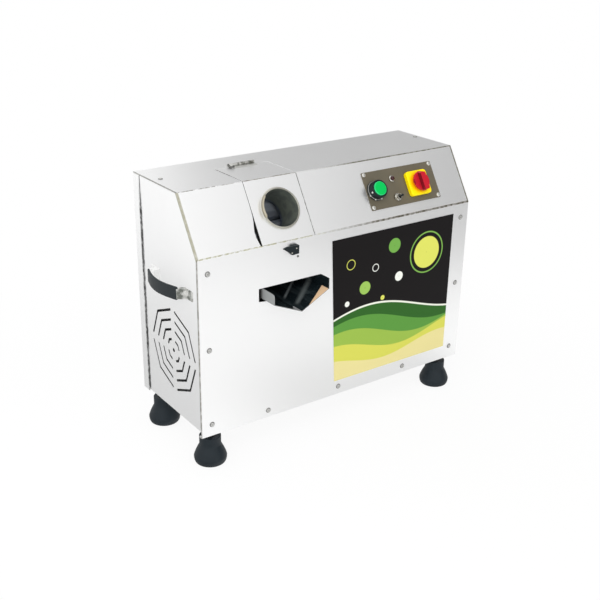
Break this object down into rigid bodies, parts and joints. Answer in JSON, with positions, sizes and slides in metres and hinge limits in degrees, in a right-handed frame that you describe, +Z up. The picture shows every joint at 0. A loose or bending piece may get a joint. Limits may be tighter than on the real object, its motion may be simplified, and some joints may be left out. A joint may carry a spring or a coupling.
{
  "type": "electric sugarcane juicer",
  "caption": "Table-top electric sugarcane juicer: steel cabinet on rubber feet, sloped feed tube in a hinged lid, three geared rollers, V-shaped juice spout and a control plate.",
  "frame": {"origin": "middle of the bounding box at the undersides of the feet", "axes": "+X to the machine's right as its front is looked at, +Y to its back, +Z up"},
  "size_m": [0.684, 0.286, 0.5123],
  "materials": {
    "stainless": "brushed stainless sheet, satin",
    "tube_steel": "drawn stainless tube, dull inside",
    "nickel": "warm nickel plating",
    "black_plastic": "moulded black plastic, satin",
    "printed_film": "printed black film, satin gloss",
    "olive_paint": "olive brown enamel",
    "green_plastic": "bright green moulded plastic",
    "red_lens": "clear dark red lens",
    "yellow_plastic": "yellow moulded plastic",
    "red_plastic": "red moulded plastic",
    "black_rubber": "blue black moulded rubber",
    "cast_iron": "machined casting, oiled",
    "bronze": "bearing bronze",
    "roller_steel": "turned steel",
    "motor_paint": "blue grey hammer paint"
  },
  "bodies": {
    "root": {"base_plate": "stainless", "front_panel": "stainless", "left_side_panel": "stainless", "right_side_panel": "stainless", "rear_cover": "stainless", "top_cover": "stainless", "bagasse_chute": "stainless", "lid_hinge_fixed_leaf": "nickel", "lid_hinge_pin": "nickel", "left_handle_front_cap": "nickel", "left_handle_rear_cap": "nickel", "right_handle_front_cap": "nickel", "right_handle_rear_cap": "nickel", "foot_front_left_stud": "nickel", "foot_front_right_stud": "nickel", "foot_rear_left_stud": "nickel", "foot_rear_right_stud": "nickel", "direction_switch_neck": "nickel", "lid_switch_body": "black_plastic", "start_button_body": "black_plastic", "isolator_contact_block": "black_plastic", "motor_fan_cover": "black_plastic", "cable_gland": "black_plastic", "graphic_panel": "printed_film", "control_plate": "olive_paint", "pilot_lamp": "red_lens", "isolator_base": "yellow_plastic", "left_handle_strap": "black_rubber", "right_handle_strap": "black_rubber", "foot_front_left": "black_rubber", "foot_front_right": "black_rubber", "foot_rear_left": "black_rubber", "foot_rear_right": "black_rubber", "left_cheek_plate": "cast_iron", "right_cheek_plate": "cast_iron", "drive_stand": "cast_iron", "gear_reducer": "cast_iron", "left_bearing_plate": "bronze", "right_bearing_plate": "bronze", "turn_plate": "roller_steel", "front_tie_bar": "roller_steel", "rear_tie_bar": "roller_steel", "motor_housing": "motor_paint"},
    "lid": {"feed_lid": "stainless", "feed_tube": "tube_steel", "feed_ring": "stainless", "lid_hinge_moving_leaf": "nickel"},
    "lid_switch_lever": {"lid_switch_lever": "black_plastic"},
    "start_button": {"start_button": "green_plastic"},
    "direction_switch_lever": {"direction_switch_lever": "black_plastic"},
    "isolator_knob": {"isolator_knob": "red_plastic"},
    "juice_tray": {"juice_tray": "stainless"},
    "top_roller": {"top_roller": "roller_steel", "top_roller_gear": "cast_iron", "bull_gear": "cast_iron"},
    "feed_roller": {"feed_roller": "roller_steel", "feed_roller_gear": "cast_iron"},
    "discharge_roller": {"discharge_roller": "roller_steel", "discharge_roller_gear": "cast_iron"},
    "drive_pinion": {"drive_pinion": "cast_iron"}
  },
  "joints": [
    {"name": "lid_hinge", "type": "hinge", "parent": "root", "child": "lid", "pos_m": [-0.124, 0.0485, 0.5093], "axis": [-1, 0, 0], "range_deg": [0, 105]},
    {"name": "lid_switch_lever_pivot", "type": "hinge", "parent": "root", "child": "lid_switch_lever", "pos_m": [-0.1165, -0.114, 0.389], "axis": [0, -1, 0], "range_deg": [0, 12], "stiffness_Nm_per_rad": 0.05, "springref_deg": -5.73},
    {"name": "start_button_travel", "type": "slide", "parent": "root", "child": "start_button", "axis": [0, 0.8476, -0.5306], "range_m": [0, 0.003], "stiffness_N_per_m": 300, "springref_m": -0.002},
    {"name": "direction_switch_tilt", "type": "hinge", "parent": "root", "child": "direction_switch_lever", "pos_m": [0.1355, -0.09053, 0.43816], "axis": [0, 0.5306, 0.8476], "range_deg": [-28, 0]},
    {"name": "isolator_turn", "type": "hinge", "parent": "root", "child": "isolator_knob", "pos_m": [0.1914, -0.07782, 0.45262], "axis": [0, -0.8476, 0.5306], "range_deg": [0, 90]},
    {"name": "juice_tray_slide", "type": "slide", "parent": "root", "child": "juice_tray", "axis": [0, -1, 0], "range_m": [0, 0.12]},
    {"name": "top_roller_spin", "type": "hinge", "parent": "root", "child": "top_roller", "pos_m": [0, 0.02075, 0.43103], "axis": [1, 0, 0], "continuous": true},
    {"name": "feed_roller_spin", "type": "hinge", "parent": "root", "child": "feed_roller", "pos_m": [0, -0.01162, 0.37933], "axis": [1, 0, 0], "continuous": true},
    {"name": "discharge_roller_spin", "type": "hinge", "parent": "root", "child": "discharge_roller", "pos_m": [0, 0.05656, 0.38165], "axis": [1, 0, 0], "continuous": true},
    {"name": "drive_pinion_spin", "type": "hinge", "parent": "root", "child": "drive_pinion", "pos_m": [0, 0.01378, 0.35134], "axis": [1, 0, 0], "continuous": true}
  ],
  "couplings": [
    {"joint": "feed_roller_spin", "follows": "top_roller_spin", "ratio": -1},
    {"joint": "discharge_roller_spin", "follows": "top_roller_spin", "ratio": -1},
    {"joint": "drive_pinion_spin", "follows": "top_roller_spin", "ratio": -3}
  ]
}
